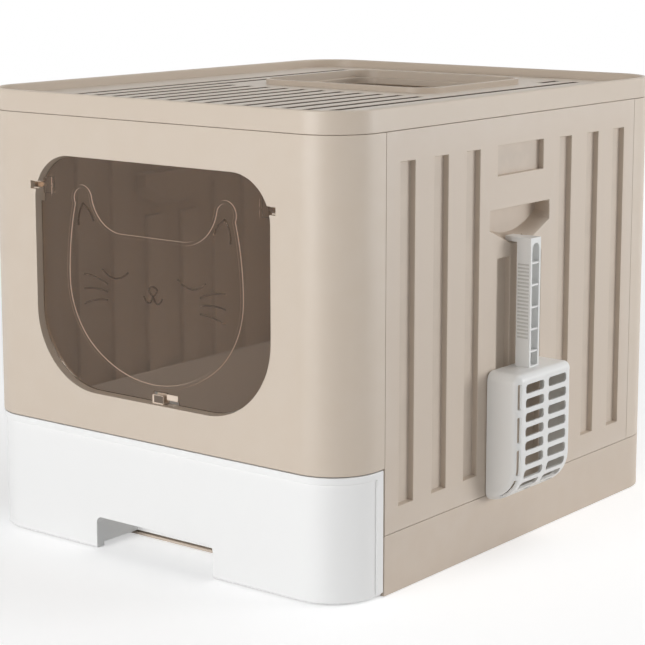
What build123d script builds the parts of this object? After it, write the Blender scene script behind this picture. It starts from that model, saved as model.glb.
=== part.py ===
from build123d import *

import os
from math import cos, degrees, sin

# Drawer litter box: an enclosed box of moulded panels on a low base, with a swinging see-through
# door in front, a slotted lid with an exit hole, a full-length drawer below, and a scoop that
# hangs on the right-hand panel.
#
# Millimetres. X runs to the right, Y to the back, Z up. The origin is the centre of the base's
# underside, on the floor. The front is at -Y.

# Whole box
width = 406.0
depth = 498.0
height = 393.0
corner_radius = 44.0
wall = 2.6
seam = 0.4  # visible line between two mouldings
running = 1.0  # room beside a part that slides
past = 1.0  # how far a cut runs past the face that it opens

# Base
base_height = 50.0
floor_thickness = 2.4
runner_height = 1.8
runner_width = 6.0
runner_from_centre = 120.0
seam_past_corner = 10.0  # upright seams, behind the end of the corner's rounding
post_thickness = 2.4
post_length = 28.0
front_post_height = 122.0
rear_post_height = 66.0
post_overhang = 13.0  # how far a post reaches past the seam into a shell
post_pin_drop = 7.0  # middle of a shell's pin below the top of its post

# Lid
lid_skirt = 19.0
lid_rim_width = 4.0
lid_recess = 8.0
lid_plate = 2.8
rim_bevel = 1.0
lip_height = 6.0
lip_overlap = 8.0
lip_thickness = 1.8
lip_end_gap = 2.0  # between a panel's lip and a shell's tongue
slot_pitch = 21.4
slot_width = 9.0
slot_margin = 32.0  # from the front and back of the lid to the slots' ends
side_slot_margin = 53.0  # from the side of the lid to the outermost slot's middle
exit_width = 192.0
exit_length = 161.0
exit_radius = 22.0
exit_centre = 92.5
collar_wall = 3.0
collar_rise = 5.0
collar_drop = 6.0
collar_step = 1.6
border_front = 24.0  # bare lid in front of the exit hole
border_side = 14.0  # bare lid beside the exit hole

# Door opening and its frame
opening_width = 261.0
opening_bottom = 138.8
opening_top = 340.0
opening_top_radius = 40.0
opening_bottom_radius = 68.0
frame_depth = 12.0
hinge_height = 312.5

# Door
door_thickness = 3.0
door_from_front = 7.5  # middle of the pane, behind the front face
door_clearance = 1.2
pin_radius = 2.5
pin_reach = 5.1  # past the opening's side
pin_play = 0.3
pad_thickness = 5.0
pad_height = 14.0
pad_width = 10.0
pad_from_side = 4.8
seat_wall = 5.0
seat_root = 2.0  # how far a pin's block reaches into the wall round the opening
throat_grip = 0.2  # how much less than the pin's radius the throat of its seat lets through
seat_mouth = 3.8  # depth of the wide mouth in front of the throat
bead_width = 2.8
bead_height = 1.2
head_half = 97.0
head_from_top = 25.5  # below the opening's top
head_from_foot = 14.0  # above the opening's foot
crown_half = 34.0
crown_drop = 38.0
ear_inner = 70.0
ear_tip = 81.0
ear_outer = 89.0
ear_drop = 15.0
cheek_rise = 84.0
jaw_half = 66.0
jaw_rise = 22.0
tab_start = 14.0
tab_end = 27.0
tab_rise = 4.4  # foot of the tab above the sill
catch_notch_start = -2.0
catch_notch_rise = 9.6

# Door catch
catch_length = 12.0
catch_rise = 8.0
catch_travel = 13.0
fork_gap = 4.4
prong = 1.8
catch_foot = 1.4
neck_length = 6.0
neck_width = 2.6
neck_play = 0.3
catch_float = 0.2  # room under the catch, above the sill
keeper_thickness = 2.3
keeper_play = 0.3

# Side panels
groove_width = 20.5
groove_depth = 4.5
groove_pitch = 46.5
groove_from_seam = 29.0
groove_foot = 70.8
groove_head = 349.3
groove_draft = 0.9
short_groove_from_centre = 25.0
short_groove_head = 254.0
plaque_width = 72.4
plaque_foot = 324.2
plaque_head = 350.0
plaque_depth = 5.0
pocket_half_width = 47.5
pocket_head = 296.0
pocket_shoulder = 279.0
pocket_foot = 264.5
pocket_foot_half = 14.5
pocket_depth = 15.0
pocket_back_shoulder = 287.0
pocket_back_foot = 271.5
pocket_wall = 2.2
tongue_length = 11.0
tongue_thickness = 2.0

# Hinge rods and pins of the panels
rod_radius = 1.0
rod_play = 0.1
rod_height = 56.0
lug_length = 10.0
lug_height = 10.0
lug_from_seam = 57.0
lug_count = 2
lug_thickness = 4.0
shell_pin_side = 5.0
shell_pin_sink = 1.4
shell_pin_play = 0.1
shell_pin_end_play = 0.2

# Drawer
drawer_top = 105.0
drawer_foot = 0.8
shell_clearance = 0.9
face_recess = 1.8
fascia_gap = 1.3  # behind the fascia, in front of the base's walls
fascia_wall = 2.2
rim_band = 6.0
edge_band = 8.0
face_round = 3.0
fascia_box = 11.0
tray_inset = 8.0
tray_wall = 2.2
tray_top = 103.0
tray_foot = 4.5
tray_floor = 2.4
tray_outer_bevel = 6.0
tray_inner_bevel = 5.0
finger_width = 132.0
finger_height = 29.0
finger_depth = 53.0
finger_radius = 5.5

# Scoop, hung on the right-hand panel. Distances out are from that panel's outer face.
scoop_centre = -6.0
basket_width = 87.0
basket_head = 159.0
basket_out = 33.0
basket_bend = 79.0
basket_wall = 2.2
basket_gap = 0.8
basket_corner = 6.0
basket_edge = 8.0
grid_column = 18.0
grid_length = 29.0
grid_height = 8.0
grid_pitch = 12.4
grid_first = 146.0
grid_rows = 6
grid_bent_rows = 3
grid_corner = 1.8  # cut off each corner of a slot
grid_sink = 5.6  # how far a slot's cut reaches into the basket
side_grid_from_centre = 40.0
side_grid_width = 3.0
side_grid_length = 22.5
side_grid_pitch = 28.5
side_grid_first = 140.4
side_grid_rows = 3
handle_in = 6.0
handle_out = 20.0
handle_half = 8.0
handle_head = 270.7
handle_wall = 2.6
rib_thickness = 1.6
rib_pitch = 19.15
rib_first = 172.2
rib_count = 5
rib_sink = 0.5  # below the open edge of the handle's channel
channel_cap = 4.6  # solid head of the handle
hook_half = 6.5
hook_plate = 4.5
hook_leg = 2.6
hook_drop = 5.5
hook_reach = 7.2  # from the panel's outer face to the leg's far side
hook_slot_play = 1.1

# Worked out
half_width = width / 2
half_depth = depth / 2
seam_from_end = corner_radius + seam_past_corner
seam_y = half_depth - seam_from_end
seam_z = height - lid_skirt
deck_z = height - lid_recess
door_y = -half_depth + door_from_front
opening_half = opening_width / 2
shell_foot = drawer_top + shell_clearance
post_outer = tray_inset - running
post_inner = post_outer - post_thickness
front_face = Plane.XZ.offset(half_depth)
right_face = Plane(origin=(half_width, 0, 0), x_dir=(0, 1, 0), z_dir=(1, 0, 0))

os.makedirs("parts", exist_ok=True)


def outline(inset=0.0, mode=Mode.ADD):
    """Plan of the box, drawn in all round by the inset."""
    RectangleRounded(width - 2 * inset, depth - 2 * inset, corner_radius - inset, mode=mode)


def keep_between(front, back):
    """Keep the part of a plan that lies between two distances from front to back."""
    with Locations((0, (front + back) / 2)):
        Rectangle(2 * width, back - front, mode=Mode.INTERSECT)


def ring(outer, inner, front, back, foot, head):
    """Wall that follows the plan between two insets, over a stretch of the depth and height."""
    with BuildSketch(Plane.XY.offset(foot)) as plan:
        outline(outer)
        outline(inner, mode=Mode.SUBTRACT)
        keep_between(front, back)
    extrude(plan.sketch, amount=head - foot)


def slab(inset, front, back, foot, head, mode=Mode.ADD):
    """Solid plate with the box's plan, over a stretch of the depth and height."""
    with BuildSketch(Plane.XY.offset(foot)) as plan:
        outline(inset)
        keep_between(front, back)
    extrude(plan.sketch, amount=head - foot, mode=mode)


def block(x0, x1, y0, y1, z0, z1, mode=Mode.ADD):
    """Plain block between two corners."""
    with BuildSketch(Plane.XY.offset(z0)) as plan:
        with Locations(((x0 + x1) / 2, (y0 + y1) / 2)):
            Rectangle(x1 - x0, y1 - y0)
    extrude(plan.sketch, amount=z1 - z0, mode=mode)


def both_blocks(x0, x1, y0, y1, z0, z1, mode=Mode.ADD):
    """The same block on the right and, mirrored, on the left."""
    block(x0, x1, y0, y1, z0, z1, mode)
    block(-x1, -x0, y0, y1, z0, z1, mode)


def door_shape(inset):
    """Outline of the door opening, drawn in by the inset, on the front plane."""
    high = opening_top - opening_bottom - 2 * inset
    with BuildSketch(mode=Mode.PRIVATE) as shape:
        with Locations((0, (opening_top + opening_bottom) / 2)):
            Rectangle(opening_width - 2 * inset, high)
        fillet(shape.vertices().group_by(Axis.Y)[-1], opening_top_radius - inset)
        fillet(shape.vertices().group_by(Axis.Y)[0], opening_bottom_radius - inset)
    return shape.sketch_local


def opening_half_at(z):
    """Half width of the door opening at a height on its straight sides or upper corners."""
    rise = max(0.0, z - opening_top + opening_top_radius)
    return opening_half - opening_top_radius + (opening_top_radius**2 - rise**2) ** 0.5


def across(radius, x0, x1, y, z, mode=Mode.ADD):
    """Round bar or bore across the box."""
    with BuildSketch(Plane.YZ.offset(x0)) as section:
        with Locations((y, z)):
            Circle(radius)
    extrude(section.sketch, amount=x1 - x0, mode=mode)


def square_across(side, x0, x1, y, z, mode=Mode.ADD):
    """Square bar or bore across the box."""
    with BuildSketch(Plane.YZ.offset(x0)) as section:
        with Locations((y, z)):
            Rectangle(side, side)
    extrude(section.sketch, amount=x1 - x0, mode=mode)


# ---------------------------------------------------------------- base frame
# A shallow pan with walls at the sides and back, open in front for the drawer. Posts at its four
# corners carry the front and rear shells, and lugs along its sides carry the side panels.
lug_span = seam_y - lug_from_seam
lug_places = [lug_span * (2 * i / (lug_count - 1) - 1) for i in range(lug_count)]
lug_outer = half_width - wall
lug_inner = lug_outer - lug_thickness
rod_x = half_width - wall - lug_thickness / 2

with BuildPart() as base_frame:
    slab(0, -seam_y, half_depth, 0, floor_thickness)
    ring(0, wall, -seam_y, half_depth, 0, base_height)
    for side in (-1, 1):
        block(
            side * runner_from_centre - runner_width / 2, side * runner_from_centre + runner_width / 2,
            -seam_y, half_depth - tray_inset, floor_thickness, floor_thickness + runner_height,
        )
    # Corner posts, and the foot that ties each of them to the side wall
    for end, post_top in ((-1, front_post_height), (1, rear_post_height)):
        near = min(end * (seam_y - post_length + post_overhang), end * (seam_y + post_overhang))
        far = near + post_length
        both_blocks(
            half_width - post_outer, half_width - post_inner, near, far,
            tray_foot + face_round, post_top,
        )
        inner_near = near if end > 0 else -seam_y
        inner_far = seam_y if end > 0 else far
        both_blocks(
            half_width - post_outer, half_width - wall / 2, inner_near, inner_far,
            floor_thickness / 2, base_height - seam,
        )
        square_across(
            shell_pin_side + 2 * shell_pin_play, -width, width, end * (seam_y + post_overhang / 2),
            post_top - post_pin_drop, mode=Mode.SUBTRACT,
        )
    # Hinge lugs for the side panels
    for place in lug_places:
        for side in (-1, 1):
            near_x, far_x = sorted((side * lug_inner, side * (lug_outer - seam)))
            block(
                near_x, far_x, place - lug_length / 2, place + lug_length / 2,
                base_height - lug_height, rod_height + lug_thickness / 2,
            )
        both_blocks(
            lug_inner, half_width - wall / 2, place - lug_length / 2, place + lug_length / 2,
            base_height - lug_height, base_height - seam,
        )
    for side in (-1, 1):
        with BuildSketch(Plane.XZ.offset(-seam_y)):
            with Locations((side * rod_x, rod_height)):
                Circle(rod_radius + rod_play)
        extrude(amount=2 * seam_y, mode=Mode.SUBTRACT)

base_frame.part.label = "base_frame"
export_step(base_frame.part, "parts/base_frame.step")

# ---------------------------------------------------------------- side panel
# Corrugated panel: upright grooves pressed in from outside, a plain sunk plaque near the top, and
# a grip pocket that changes from a six-sided mouth to a rounded back. Both sides use the same
# moulding, turned round.
groove_room = pocket_half_width + pocket_wall + groove_width / 2 + wall
groove_places = []
groove_next = seam_y - groove_from_seam
while groove_next >= groove_room:
    groove_places += [groove_next, -groove_next]
    groove_next -= groove_pitch


def groove_sketches(grow):
    """Rectangles of every groove, made larger all round by the given amount."""
    tall = groove_head - groove_foot
    short = short_groove_head - groove_foot
    for place in groove_places:
        with Locations((place, groove_foot + tall / 2)):
            Rectangle(groove_width + 2 * grow, tall + 2 * grow)
    for place in (-short_groove_from_centre, short_groove_from_centre):
        with Locations((place, groove_foot + short / 2)):
            Rectangle(groove_width + 2 * grow, short + 2 * grow)


def plaque_sketch(grow):
    """Rectangle of the sunk plaque, made larger all round by the given amount."""
    with Locations((0, (plaque_head + plaque_foot) / 2)):
        Rectangle(plaque_width + 2 * grow, plaque_head - plaque_foot + 2 * grow)


def pocket_mouth(grow):
    """Six-sided mouth of the grip pocket."""
    half = pocket_half_width + grow
    foot_half = pocket_foot_half + grow / 2
    with BuildLine() as edge:
        Polyline(
            (-half, pocket_head + grow), (half, pocket_head + grow),
            (half, pocket_shoulder - grow / 2), (foot_half, pocket_foot - grow),
            (-foot_half, pocket_foot - grow), (-half, pocket_shoulder - grow / 2), close=True,
        )
    make_face(edge.edges())


def pocket_back(grow):
    """Rounded back of the grip pocket: straight top and sides, one sweeping curve below."""
    half = pocket_half_width + grow
    shoulder = pocket_back_shoulder - grow / 2
    foot = pocket_back_foot - grow
    sag = shoulder - foot
    radius = (half**2 + sag**2) / (2 * sag)
    nose = pocket_foot_half / 4

    def curve_z(y):
        """Height of the curved foot at a place across the pocket."""
        return foot + radius - (radius**2 - y**2) ** 0.5

    with BuildLine() as edge:
        Line((-half, pocket_head + grow), (half, pocket_head + grow))
        Line((half, pocket_head + grow), (half, shoulder))
        ThreePointArc((half, shoulder), ((half + nose) / 2, curve_z((half + nose) / 2)),
                      (nose, curve_z(nose)))
        ThreePointArc((nose, curve_z(nose)), (0, foot), (-nose, curve_z(nose)))
        ThreePointArc((-nose, curve_z(nose)), (-(half + nose) / 2, curve_z((half + nose) / 2)),
                      (-half, shoulder))
        Line((-half, shoulder), (-half, pocket_head + grow))
    make_face(edge.edges())


panel_foot = base_height + seam
panel_end = seam_y - seam
with BuildPart() as right_side_panel:
    with BuildSketch(right_face):
        with Locations((0, (panel_foot + seam_z) / 2)):
            Rectangle(2 * panel_end, seam_z - panel_foot)
    extrude(amount=-wall)
    with BuildSketch(right_face.offset(-wall / 2)):
        groove_sketches(wall - groove_draft)
        plaque_sketch(wall - groove_draft)
    extrude(amount=-groove_depth - pocket_wall + wall / 2)
    with BuildSketch(right_face.offset(-wall / 2)):
        pocket_mouth(pocket_wall)
    with BuildSketch(right_face.offset(-pocket_depth - pocket_wall)):
        pocket_back(pocket_wall)
    loft(ruled=True)
    with BuildSketch(right_face):
        groove_sketches(0)
    extrude(amount=-groove_depth, taper=degrees(groove_draft / groove_depth), mode=Mode.SUBTRACT)
    with BuildSketch(right_face):
        plaque_sketch(0)
    extrude(amount=-plaque_depth, mode=Mode.SUBTRACT)
    with BuildSketch(right_face):
        pocket_mouth(0)
    with BuildSketch(right_face.offset(-pocket_depth)):
        pocket_back(0)
    loft(ruled=True, mode=Mode.SUBTRACT)
    # Slit in the pocket's floor, behind the lip, for the scoop's hook
    block(
        half_width - hook_reach - hook_slot_play, half_width - wall,
        -pocket_foot_half, pocket_foot_half, pocket_foot - 3 * wall, pocket_back_foot + wall,
        mode=Mode.SUBTRACT,
    )
    # Lip that the lid drops over
    lip_end = panel_end - tongue_length - lip_end_gap
    block(
        half_width - wall - seam - lip_thickness, half_width - wall, -lip_end, lip_end,
        seam_z - lip_overlap, seam_z,
    )
    block(
        half_width - wall - seam - lip_thickness, half_width - wall - seam, -lip_end, lip_end,
        seam_z, seam_z + lip_height,
    )
    # Hinge lugs, each beside one of the base
    for place in lug_places:
        near = place + lug_length / 2 + seam
        block(
            lug_inner, half_width - wall / 2, near, near + lug_length,
            rod_height - lug_thickness / 2, rod_height + lug_height / 2,
        )
    with BuildSketch(Plane.XZ.offset(-seam_y)):
        with Locations((rod_x, rod_height)):
            Circle(rod_radius + rod_play)
    extrude(amount=2 * seam_y, mode=Mode.SUBTRACT)

right_side_panel.part.label = "right_side_panel"
export_step(right_side_panel.part, "parts/right_side_panel.step")

with BuildPart() as left_side_panel:
    add(right_side_panel.part.rotate(Axis.Z, 180))

left_side_panel.part.label = "left_side_panel"
export_step(left_side_panel.part, "parts/left_side_panel.step")

rod_end = lug_places[-1] + 1.5 * lug_length + seam
for name, side in (("right_hinge_rod", 1), ("left_hinge_rod", -1)):
    with BuildPart() as hinge_rod:
        with BuildSketch(Plane.XZ.offset(rod_end)):
            with Locations((side * rod_x, rod_height)):
                Circle(rod_radius)
        extrude(amount=-2 * rod_end)
    hinge_rod.part.label = name
    export_step(hinge_rod.part, f"parts/{name}.step")


# ---------------------------------------------------------------- front and rear shells
def shell_details(end, foot, tongue_foot):
    """What both shells share: the lip under the lid, the tongues behind the side panels and the
    sockets of the pins that hold the shell on the base's posts."""
    near, far = sorted((end * seam_y, end * half_depth))
    ring(wall / 2, wall + seam + lip_thickness, near, far, seam_z - lip_overlap, seam_z)
    ring(wall + seam, wall + seam + lip_thickness, near, far, seam_z, seam_z + lip_height)
    root_near, root_far = sorted((end * seam_y, end * (seam_y + tongue_length)))
    ring(wall / 2, wall + seam + tongue_thickness, root_near, root_far, tongue_foot, seam_z)
    tip_near, tip_far = sorted((end * (seam_y - tongue_length), end * (seam_y + tongue_length)))
    ring(
        wall + seam, wall + seam + tongue_thickness, tip_near, tip_far, tongue_foot,
        seam_z - lip_overlap,
    )
    square_across(
        shell_pin_side + 2 * shell_pin_play, -half_width + wall - shell_pin_sink,
        half_width - wall + shell_pin_sink, end * (seam_y + post_overhang / 2),
        (front_post_height if end < 0 else rear_post_height) - post_pin_drop, mode=Mode.SUBTRACT,
    )


seat_radius = pin_radius + pin_play
seat_reach = opening_half + pin_reach + pin_play

with BuildPart() as front_shell:
    ring(0, wall, -half_depth, -seam_y, shell_foot, seam_z)
    shell_details(-1, shell_foot, front_post_height + 2 * wall)
    # Ledge along the foot, which leads litter into the drawer
    ring(wall / 2, tray_inset + 2 * tray_wall, -half_depth, -seam_y, shell_foot, shell_foot + wall)
    both_blocks(
        half_width - post_outer - running, half_width - wall, -seam_y - post_overhang - running,
        -seam_y + running, shell_foot - past, shell_foot + 2 * wall, mode=Mode.SUBTRACT,
    )
    # Frame of the door opening
    with BuildSketch(front_face):
        add(door_shape(-wall))
    extrude(amount=-frame_depth)
    # Blocks that hold the door's pins
    seat_inner = opening_half - 2 * seat_root
    seat_outer = seat_reach + wall
    for side in (-1, 1):
        with BuildSketch(front_face):
            with Locations((side * (seat_inner + seat_outer) / 2, hinge_height)):
                Rectangle(seat_outer - seat_inner, 2 * (seat_radius + seat_wall))
        extrude(amount=-frame_depth)
    with BuildSketch(front_face.offset(past)):
        add(door_shape(0))
    extrude(amount=-frame_depth - 2 * past, mode=Mode.SUBTRACT)
    # Pin seats: a mouth open to the front, a throat that the pin snaps through, a round seat
    with BuildSketch(Plane.YZ.offset(-seat_reach)):
        with Locations((door_y, hinge_height)):
            Circle(seat_radius)
        with Locations((door_y - door_from_front / 2, hinge_height)):
            Rectangle(door_from_front + past, 2 * (pin_radius - throat_grip))
        with Locations((-half_depth + (seat_mouth - past) / 2, hinge_height)):
            Rectangle(seat_mouth + past, 2 * (seat_radius + 2 * pin_play))
    extrude(amount=2 * seat_reach, mode=Mode.SUBTRACT)
    # Slit in the sill for the catch
    slit_length = catch_travel + neck_length + 2 * neck_play
    block(
        (catch_length - neck_length) / 2 - neck_play,
        (catch_length - neck_length) / 2 - neck_play + slit_length,
        door_y - neck_width / 2 - neck_play, door_y + neck_width / 2 + neck_play,
        opening_bottom - wall - past, opening_bottom + past, mode=Mode.SUBTRACT,
    )

front_shell.part.label = "front_shell"
export_step(front_shell.part, "parts/front_shell.step")

with BuildPart() as rear_shell:
    ring(0, wall, seam_y, half_depth, base_height + seam, seam_z)
    shell_details(1, base_height + seam, rear_post_height + 2 * wall)

rear_shell.part.label = "rear_shell"
export_step(rear_shell.part, "parts/rear_shell.step")

pin_inner = half_width - post_outer + 2 * shell_pin_end_play
pin_outer = half_width - wall + shell_pin_sink - shell_pin_end_play
for name, y, z in (
    ("front_shell_pins", -seam_y - post_overhang / 2, front_post_height - post_pin_drop),
    ("rear_shell_pins", seam_y + post_overhang / 2, rear_post_height - post_pin_drop),
):
    with BuildPart() as shell_pins:
        square_across(shell_pin_side, pin_inner, pin_outer, y, z)
        square_across(shell_pin_side, -pin_outer, -pin_inner, y, z)
    shell_pins.part.label = name
    export_step(shell_pins.part, f"parts/{name}.step")

# ---------------------------------------------------------------- lid
# A skirted lid with a sunk deck. Long slots run from front to back, and a raised collar rounds
# the exit hole.
exit_front = exit_centre - exit_length / 2
exit_back = exit_centre + exit_length / 2
slot_front = -half_depth + slot_margin
slot_back = half_depth - slot_margin
slot_side_count = int((half_width - side_slot_margin) / slot_pitch + 0.01)
slots = []
for i in range(-slot_side_count, slot_side_count + 1):
    slot_x = i * slot_pitch
    if abs(slot_x) - slot_width / 2 > exit_width / 2 + border_side + slot_width:
        slots.append((slot_x, slot_front, slot_back))
        continue
    slots.append((slot_x, slot_front, exit_front - border_front))
    if abs(slot_x) > exit_width / 2 and slot_back - exit_back > 4 * slot_width:
        slots.append((slot_x, exit_back + slot_width, slot_back))

with BuildPart() as lid:
    ring(0, wall, -half_depth, half_depth, seam_z + seam, height)
    ring(0, lid_rim_width, -half_depth, half_depth, deck_z - lid_plate, height)
    chamfer(lid.edges().group_by(Axis.Z)[-1], rim_bevel)
    slab(wall, -half_depth, half_depth, deck_z - lid_plate, deck_z)
    with BuildSketch(Plane.XY.offset(deck_z - lid_plate - collar_drop)):
        with Locations((0, exit_centre)):
            RectangleRounded(
                exit_width + 2 * collar_wall, exit_length + 2 * collar_wall, exit_radius + collar_wall
            )
    extrude(amount=collar_drop + lid_plate + collar_rise)
    with BuildSketch(Plane.XY.offset(deck_z + collar_rise)):
        with Locations((0, exit_centre)):
            RectangleRounded(exit_width, exit_length, exit_radius)
    extrude(amount=-collar_rise - lid_plate, mode=Mode.SUBTRACT)
    with BuildSketch(Plane.XY.offset(deck_z)):
        with Locations((0, exit_centre)):
            RectangleRounded(
                exit_width - 2 * collar_step, exit_length - 2 * collar_step, exit_radius - collar_step
            )
    extrude(amount=-2 * (collar_drop + lid_plate), mode=Mode.SUBTRACT)
    with BuildSketch(Plane.XY.offset(deck_z)):
        for slot_x, start, end in slots:
            with Locations((slot_x, (start + end) / 2)):
                Rectangle(slot_width, end - start)
    extrude(amount=-lid_plate, mode=Mode.SUBTRACT)

lid.part.label = "lid"
export_step(lid.part, "parts/lid.step")

# ---------------------------------------------------------------- door
# See-through flap with two pins near its top, a raised outline of a cat's head and a tab at its
# foot for the catch.
head_top = opening_top - head_from_top
head_foot = opening_bottom + head_from_foot
door_front = Plane.XZ.offset(-door_y + door_thickness / 2)


def head_line():
    """Half outline of the head: a flat crown, a rounded ear and a full cheek."""
    crown = (crown_half, head_top - crown_drop)
    ear_near = (ear_inner, head_top - ear_drop / 2)
    ear_far = (ear_outer, head_top - ear_drop)
    cheek = (head_half, head_foot + cheek_rise)
    jaw = (jaw_half, head_foot + jaw_rise)
    Line((0, crown[1]), crown)
    TangentArc(crown, ear_near, tangent=(1, 0))
    ThreePointArc(ear_near, (ear_tip, head_top), ear_far)
    TangentArc(cheek, ear_far, tangent=(0, 1))
    TangentArc(cheek, jaw, tangent=(0, -1))
    TangentArc((0, head_foot), jaw, tangent=(1, 0))


with BuildPart() as door_flap:
    with BuildSketch(door_front):
        add(door_shape(door_clearance))
    extrude(amount=-door_thickness)
    with BuildSketch(door_front.offset((pad_thickness - door_thickness) / 2)):
        for side in (-1, 1):
            with Locations((side * (opening_half - pad_width / 2 - pad_from_side), hinge_height)):
                Rectangle(pad_width, pad_height)
        add(door_shape(door_clearance), mode=Mode.INTERSECT)
    extrude(amount=-pad_thickness)
    # The sides are drawn in beside the pins, where the opening already narrows
    waist_half = opening_half_at(hinge_height + pad_thickness) - door_clearance
    both_blocks(
        waist_half, opening_half, door_y - pad_thickness, door_y + pad_thickness,
        hinge_height - pad_height, hinge_height + pad_height, mode=Mode.SUBTRACT,
    )
    pin_root = waist_half - pad_width
    across(pin_radius, pin_root, opening_half + pin_reach, door_y, hinge_height)
    across(pin_radius, -opening_half - pin_reach, -pin_root, door_y, hinge_height)
    # Raised outline of the head
    with BuildSketch(door_front):
        with BuildLine():
            head_line()
            mirror(about=Plane.YZ)
        trace(line_width=bead_width)
    extrude(amount=bead_height)
    # Room for the catch, and the tab that it grips
    block(
        catch_notch_start, tab_start, door_y - pad_thickness, door_y + pad_thickness,
        opening_bottom, opening_bottom + catch_notch_rise, mode=Mode.SUBTRACT,
    )
    block(
        catch_notch_start, tab_end, door_y - pad_thickness, door_y + pad_thickness,
        opening_bottom, opening_bottom + tab_rise, mode=Mode.SUBTRACT,
    )

door_flap.part.label = "door_flap"
export_step(door_flap.part, "parts/door_flap.step")

# Catch: a fork on the sill that slides sideways and straddles the door's tab
with BuildPart() as door_catch:
    catch_foot_z = opening_bottom + catch_float
    half_fork = fork_gap / 2 + prong
    block(0, catch_length, door_y - half_fork, door_y + half_fork, catch_foot_z,
          opening_bottom + catch_rise)
    block(
        -past, catch_length + past, door_y - fork_gap / 2, door_y + fork_gap / 2,
        catch_foot_z + catch_foot, opening_bottom + catch_rise + past, mode=Mode.SUBTRACT,
    )
    # Neck through the sill's slit, and the keeper below it
    neck_start = (catch_length - neck_length) / 2
    keeper_head = opening_bottom - wall - keeper_play
    block(
        neck_start, neck_start + neck_length, door_y - neck_width / 2, door_y + neck_width / 2,
        keeper_head - keeper_thickness / 2, catch_foot_z + catch_foot / 2,
    )
    block(
        0, catch_length, door_y - half_fork, door_y + half_fork, keeper_head - keeper_thickness,
        keeper_head,
    )

door_catch.part.label = "door_catch"
export_step(door_catch.part, "parts/door_catch.step")

# ---------------------------------------------------------------- drawer
# A full-length tray behind a fascia that wraps the front corners. The face is sunk inside a raised
# band, and a cut-out at its foot leads into a pocket for the fingers.
fascia_back = -seam_y - fascia_gap

with BuildPart() as tray_hollow:
    with BuildSketch(Plane.XY.offset(tray_foot + tray_floor)):
        outline(tray_inset + tray_wall)
    extrude(amount=tray_top)
    chamfer(tray_hollow.edges().group_by(Axis.Z)[0], tray_inner_bevel)

with BuildPart() as tray_body:
    with BuildSketch(Plane.XY.offset(tray_foot)):
        outline(tray_inset)
    extrude(amount=tray_top - tray_foot)
    chamfer(tray_body.edges().group_by(Axis.Z)[0], tray_outer_bevel)
    add(tray_hollow.part, mode=Mode.SUBTRACT)
    # Roof and walls of the finger pocket
    block(
        -finger_width / 2 - tray_floor, finger_width / 2 + tray_floor,
        -half_depth + face_recess + fascia_wall / 2, -half_depth + finger_depth + tray_floor,
        tray_foot, finger_height + tray_floor,
    )

with BuildPart() as drawer:
    slab(face_recess, -half_depth, fascia_back, drawer_foot, drawer_top)
    chamfer(
        drawer.edges().group_by(Axis.Z)[0].sort_by(Axis.Y)[:-1],
        face_round / 2,
    )
    slab(0, -half_depth, fascia_back, drawer_top - rim_band, drawer_top)
    slab(0, fascia_back - edge_band, fascia_back, drawer_foot + face_round, drawer_top)
    slab(
        face_recess + fascia_wall, -half_depth, fascia_back + past, tray_foot + past,
        drawer_top - tray_floor, mode=Mode.SUBTRACT,
    )
    slab(
        face_recess + fascia_wall, -half_depth + fascia_box, fascia_back + past, tray_foot,
        drawer_top + past, mode=Mode.SUBTRACT,
    )
    slab(
        face_recess + 2 * fascia_wall, -half_depth + fascia_box, fascia_back + past,
        drawer_foot - past, drawer_top + past, mode=Mode.SUBTRACT,
    )
    add(tray_body.part)
    with BuildSketch(front_face.offset(past)):
        with Locations((0, (finger_height - past) / 2)):
            Rectangle(finger_width, finger_height + past)
        fillet(vertices().group_by(Axis.Y)[-1], finger_radius)
    extrude(amount=-finger_depth - past, mode=Mode.SUBTRACT)

drawer.part.label = "drawer"
export_step(drawer.part, "parts/drawer.step")

# ---------------------------------------------------------------- scoop
# Slotted basket whose open side faces the panel, a channel-shaped handle with cross ribs, and a
# hook that drops behind the lip of the grip pocket.
scoop_plane = Plane(origin=(half_width, scoop_centre, 0), x_dir=(1, 0, 0), z_dir=(0, -1, 0))
basket_front = half_width + basket_gap + 1  # edges in front of this are rounded


def slot_shape(length, tall, corner):
    """Slot with its corners cut off."""
    with BuildSketch(mode=Mode.PRIVATE) as shape:
        Rectangle(length, tall)
        chamfer(shape.vertices(), corner)
    return shape.sketch_local


def on_bend(drop):
    """Plane on the basket's bend, at a distance along its surface below the straight face."""
    turn = drop / basket_out
    reach = basket_out + past
    return Plane(
        origin=(half_width + reach * cos(turn), scoop_centre, basket_bend - reach * sin(turn)),
        x_dir=(0, 1, 0), z_dir=(cos(turn), 0, -sin(turn)),
    )


def basket_profile(inset, back):
    """Side view of the basket: flat head, upright face, quarter-round foot."""
    out = basket_out - inset
    head = basket_head - inset
    corner = basket_corner - inset / 2
    drop = ((out**2) - back**2) ** 0.5
    with BuildLine() as edge:
        Line((back, basket_bend - drop), (back, head))
        Line((back, head), (out - corner, head))
        RadiusArc((out - corner, head), (out, head - corner), corner)
        Line((out, head - corner), (out, basket_bend))
        RadiusArc((out, basket_bend), (back, basket_bend - drop), out)
    make_face(edge.edges())


grid_slot = slot_shape(grid_length, grid_height, grid_corner)
side_slot = slot_shape(side_grid_width, side_grid_length, side_grid_width / 3)

with BuildPart() as basket_hollow:
    with BuildSketch(scoop_plane):
        basket_profile(basket_wall, -1)
    extrude(amount=basket_width / 2 - basket_wall, both=True)
    chamfer(
        basket_hollow.faces().filter_by(Plane.XZ).edges().filter_by(
            lambda e: e.center().X > basket_front),
        (basket_edge - basket_wall) / 1.7,
    )

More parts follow.
